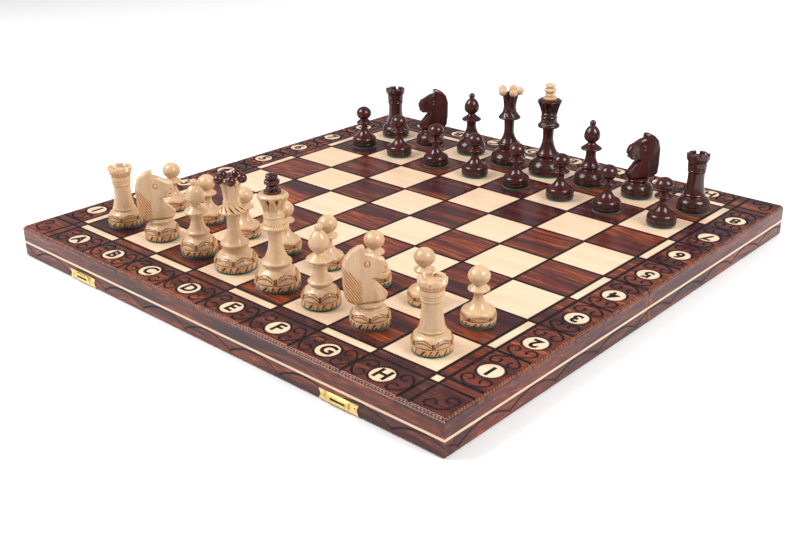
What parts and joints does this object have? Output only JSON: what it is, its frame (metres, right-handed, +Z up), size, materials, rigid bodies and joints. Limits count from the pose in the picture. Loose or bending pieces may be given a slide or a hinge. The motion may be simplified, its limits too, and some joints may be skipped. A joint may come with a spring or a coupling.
{
  "type": "chess set with board",
  "caption": "Wooden folding chess set: an inlaid two-half board hinged along the middle, with latches and turned and carved men set up for play.",
  "frame": {"origin": "middle of the open board, on the surface it stands on", "axes": "+X from file a to file h, +Y from rank 1 to rank 8, +Z up from the table to the men"},
  "size_m": [0.48, 0.4841, 0.1182],
  "materials": {
    "mahogany_top": "gloss lacquer over red-brown mahogany with burned lines",
    "mahogany_rail": "satin lacquer over red-brown mahogany",
    "light_veneer": "gloss lacquer over pale birch veneer",
    "light_man_wood": "polished pale hornbeam with scorched carving",
    "dark_man_wood": "polished dark stained hornbeam",
    "burned_wood": "pressed and scorched black lines",
    "brass": "pressed polished brass",
    "green_felt": "thin green felt"
  },
  "bodies": {
    "white_half": {"brass_fasteners_white": "brass", "hinge_leaves_white": "brass", "hinge_pins": "brass", "latch_catches": "brass", "white_end_rail": "mahogany_rail", "white_hinge_rail": "mahogany_rail", "white_inlay_lines": "light_veneer", "white_light_inlays": "light_veneer", "white_lining": "green_felt", "white_panel": "mahogany_top", "white_side_rails": "mahogany_rail"},
    "black_half": {"black_end_rail": "mahogany_rail", "black_hinge_rail": "mahogany_rail", "black_inlay_lines": "light_veneer", "black_light_inlays": "light_veneer", "black_lining": "green_felt", "black_panel": "mahogany_top", "black_side_rails": "mahogany_rail", "brass_fasteners_black": "brass", "hinge_leaves_black": "brass", "latch_plates": "brass"},
    "latch_flap_left": {"latch_flap_left": "brass"},
    "latch_flap_right": {"latch_flap_right": "brass"},
    "white_king": {"white_king": "light_man_wood", "white_king_finial": "dark_man_wood"},
    "white_queen": {"white_queen": "light_man_wood", "white_queen_balls": "dark_man_wood"},
    "white_bishop_c": {"white_bishop_c": "light_man_wood"},
    "white_bishop_f": {"white_bishop_f": "light_man_wood"},
    "white_knight_b": {"white_knight_b": "light_man_wood"},
    "white_knight_g": {"white_knight_g": "light_man_wood"},
    "white_rook_a": {"white_rook_a": "light_man_wood"},
    "white_rook_h": {"white_rook_h": "light_man_wood"},
    "white_pawn_a": {"white_pawn_a": "light_man_wood"},
    "white_pawn_b": {"white_pawn_b": "light_man_wood"},
    "white_pawn_c": {"white_pawn_c": "light_man_wood"},
    "white_pawn_d": {"white_pawn_d": "light_man_wood"},
    "white_pawn_e": {"white_pawn_e": "light_man_wood"},
    "white_pawn_f": {"white_pawn_f": "light_man_wood"},
    "white_pawn_g": {"white_pawn_g": "light_man_wood"},
    "white_pawn_h": {"white_pawn_h": "light_man_wood"},
    "black_king": {"black_king": "dark_man_wood", "black_king_finial": "light_man_wood"},
    "black_queen": {"black_queen": "dark_man_wood", "black_queen_balls": "light_man_wood"},
    "black_bishop_c": {"black_bishop_c": "dark_man_wood"},
    "black_bishop_f": {"black_bishop_f": "dark_man_wood"},
    "black_knight_b": {"black_knight_b": "dark_man_wood"},
    "black_knight_g": {"black_knight_g": "dark_man_wood"},
    "black_rook_a": {"black_rook_a": "dark_man_wood"},
    "black_rook_h": {"black_rook_h": "dark_man_wood"},
    "black_pawn_a": {"black_pawn_a": "dark_man_wood"},
    "black_pawn_b": {"black_pawn_b": "dark_man_wood"},
    "black_pawn_c": {"black_pawn_c": "dark_man_wood"},
    "black_pawn_d": {"black_pawn_d": "dark_man_wood"},
    "black_pawn_e": {"black_pawn_e": "dark_man_wood"},
    "black_pawn_f": {"black_pawn_f": "dark_man_wood"},
    "black_pawn_g": {"black_pawn_g": "dark_man_wood"},
    "black_pawn_h": {"black_pawn_h": "dark_man_wood"}
  },
  "joints": [
    {"name": "board_fold", "type": "hinge", "parent": "white_half", "child": "black_half", "pos_m": [0, 0, 0.001], "axis": [-1, 0, 0], "range_deg": [0, 180]},
    {"name": "latch_left_turn", "type": "hinge", "parent": "black_half", "child": "latch_flap_left", "pos_m": [-0.15, 0.2416, 0.00565], "axis": [-1, 0, 0], "range_deg": [0, 180]},
    {"name": "latch_right_turn", "type": "hinge", "parent": "black_half", "child": "latch_flap_right", "pos_m": [0.15, 0.2416, 0.00565], "axis": [-1, 0, 0], "range_deg": [0, 180]},
    {"name": "white_king_lift", "type": "slide", "parent": "white_half", "child": "white_king", "axis": [0, 0, 1], "range_m": [0, 0.1]},
    {"name": "white_queen_lift", "type": "slide", "parent": "white_half", "child": "white_queen", "axis": [0, 0, 1], "range_m": [0, 0.1]},
    {"name": "white_bishop_c_lift", "type": "slide", "parent": "white_half", "child": "white_bishop_c", "axis": [0, 0, 1], "range_m": [0, 0.1]},
    {"name": "white_bishop_f_lift", "type": "slide", "parent": "white_half", "child": "white_bishop_f", "axis": [0, 0, 1], "range_m": [0, 0.1]},
    {"name": "white_knight_b_lift", "type": "slide", "parent": "white_half", "child": "white_knight_b", "axis": [0, 0, 1], "range_m": [0, 0.1]},
    {"name": "white_knight_g_lift", "type": "slide", "parent": "white_half", "child": "white_knight_g", "axis": [0, 0, 1], "range_m": [0, 0.1]},
    {"name": "white_rook_a_lift", "type": "slide", "parent": "white_half", "child": "white_rook_a", "axis": [0, 0, 1], "range_m": [0, 0.1]},
    {"name": "white_rook_h_lift", "type": "slide", "parent": "white_half", "child": "white_rook_h", "axis": [0, 0, 1], "range_m": [0, 0.1]},
    {"name": "white_pawn_a_lift", "type": "slide", "parent": "white_half", "child": "white_pawn_a", "axis": [0, 0, 1], "range_m": [0, 0.1]},
    {"name": "white_pawn_b_lift", "type": "slide", "parent": "white_half", "child": "white_pawn_b", "axis": [0, 0, 1], "range_m": [0, 0.1]},
    {"name": "white_pawn_c_lift", "type": "slide", "parent": "white_half", "child": "white_pawn_c", "axis": [0, 0, 1], "range_m": [0, 0.1]},
    {"name": "white_pawn_d_lift", "type": "slide", "parent": "white_half", "child": "white_pawn_d", "axis": [0, 0, 1], "range_m": [0, 0.1]},
    {"name": "white_pawn_e_lift", "type": "slide", "parent": "white_half", "child": "white_pawn_e", "axis": [0, 0, 1], "range_m": [0, 0.1]},
    {"name": "white_pawn_f_lift", "type": "slide", "parent": "white_half", "child": "white_pawn_f", "axis": [0, 0, 1], "range_m": [0, 0.1]},
    {"name": "white_pawn_g_lift", "type": "slide", "parent": "white_half", "child": "white_pawn_g", "axis": [0, 0, 1], "range_m": [0, 0.1]},
    {"name": "white_pawn_h_lift", "type": "slide", "parent": "white_half", "child": "white_pawn_h", "axis": [0, 0, 1], "range_m": [0, 0.1]},
    {"name": "black_king_lift", "type": "slide", "parent": "black_half", "child": "black_king", "axis": [0, 0, 1], "range_m": [0, 0.1]},
    {"name": "black_queen_lift", "type": "slide", "parent": "black_half", "child": "black_queen", "axis": [0, 0, 1], "range_m": [0, 0.1]},
    {"name": "black_bishop_c_lift", "type": "slide", "parent": "black_half", "child": "black_bishop_c", "axis": [0, 0, 1], "range_m": [0, 0.1]},
    {"name": "black_bishop_f_lift", "type": "slide", "parent": "black_half", "child": "black_bishop_f", "axis": [0, 0, 1], "range_m": [0, 0.1]},
    {"name": "black_knight_b_lift", "type": "slide", "parent": "black_half", "child": "black_knight_b", "axis": [0, 0, 1], "range_m": [0, 0.1]},
    {"name": "black_knight_g_lift", "type": "slide", "parent": "black_half", "child": "black_knight_g", "axis": [0, 0, 1], "range_m": [0, 0.1]},
    {"name": "black_rook_a_lift", "type": "slide", "parent": "black_half", "child": "black_rook_a", "axis": [0, 0, 1], "range_m": [0, 0.1]},
    {"name": "black_rook_h_lift", "type": "slide", "parent": "black_half", "child": "black_rook_h", "axis": [0, 0, 1], "range_m": [0, 0.1]},
    {"name": "black_pawn_a_lift", "type": "slide", "parent": "black_half", "child": "black_pawn_a", "axis": [0, 0, 1], "range_m": [0, 0.1]},
    {"name": "black_pawn_b_lift", "type": "slide", "parent": "black_half", "child": "black_pawn_b", "axis": [0, 0, 1], "range_m": [0, 0.1]},
    {"name": "black_pawn_c_lift", "type": "slide", "parent": "black_half", "child": "black_pawn_c", "axis": [0, 0, 1], "range_m": [0, 0.1]},
    {"name": "black_pawn_d_lift", "type": "slide", "parent": "black_half", "child": "black_pawn_d", "axis": [0, 0, 1], "range_m": [0, 0.1]},
    {"name": "black_pawn_e_lift", "type": "slide", "parent": "black_half", "child": "black_pawn_e", "axis": [0, 0, 1], "range_m": [0, 0.1]},
    {"name": "black_pawn_f_lift", "type": "slide", "parent": "black_half", "child": "black_pawn_f", "axis": [0, 0, 1], "range_m": [0, 0.1]},
    {"name": "black_pawn_g_lift", "type": "slide", "parent": "black_half", "child": "black_pawn_g", "axis": [0, 0, 1], "range_m": [0, 0.1]},
    {"name": "black_pawn_h_lift", "type": "slide", "parent": "black_half", "child": "black_pawn_h", "axis": [0, 0, 1], "range_m": [0, 0.1]}
  ]
}
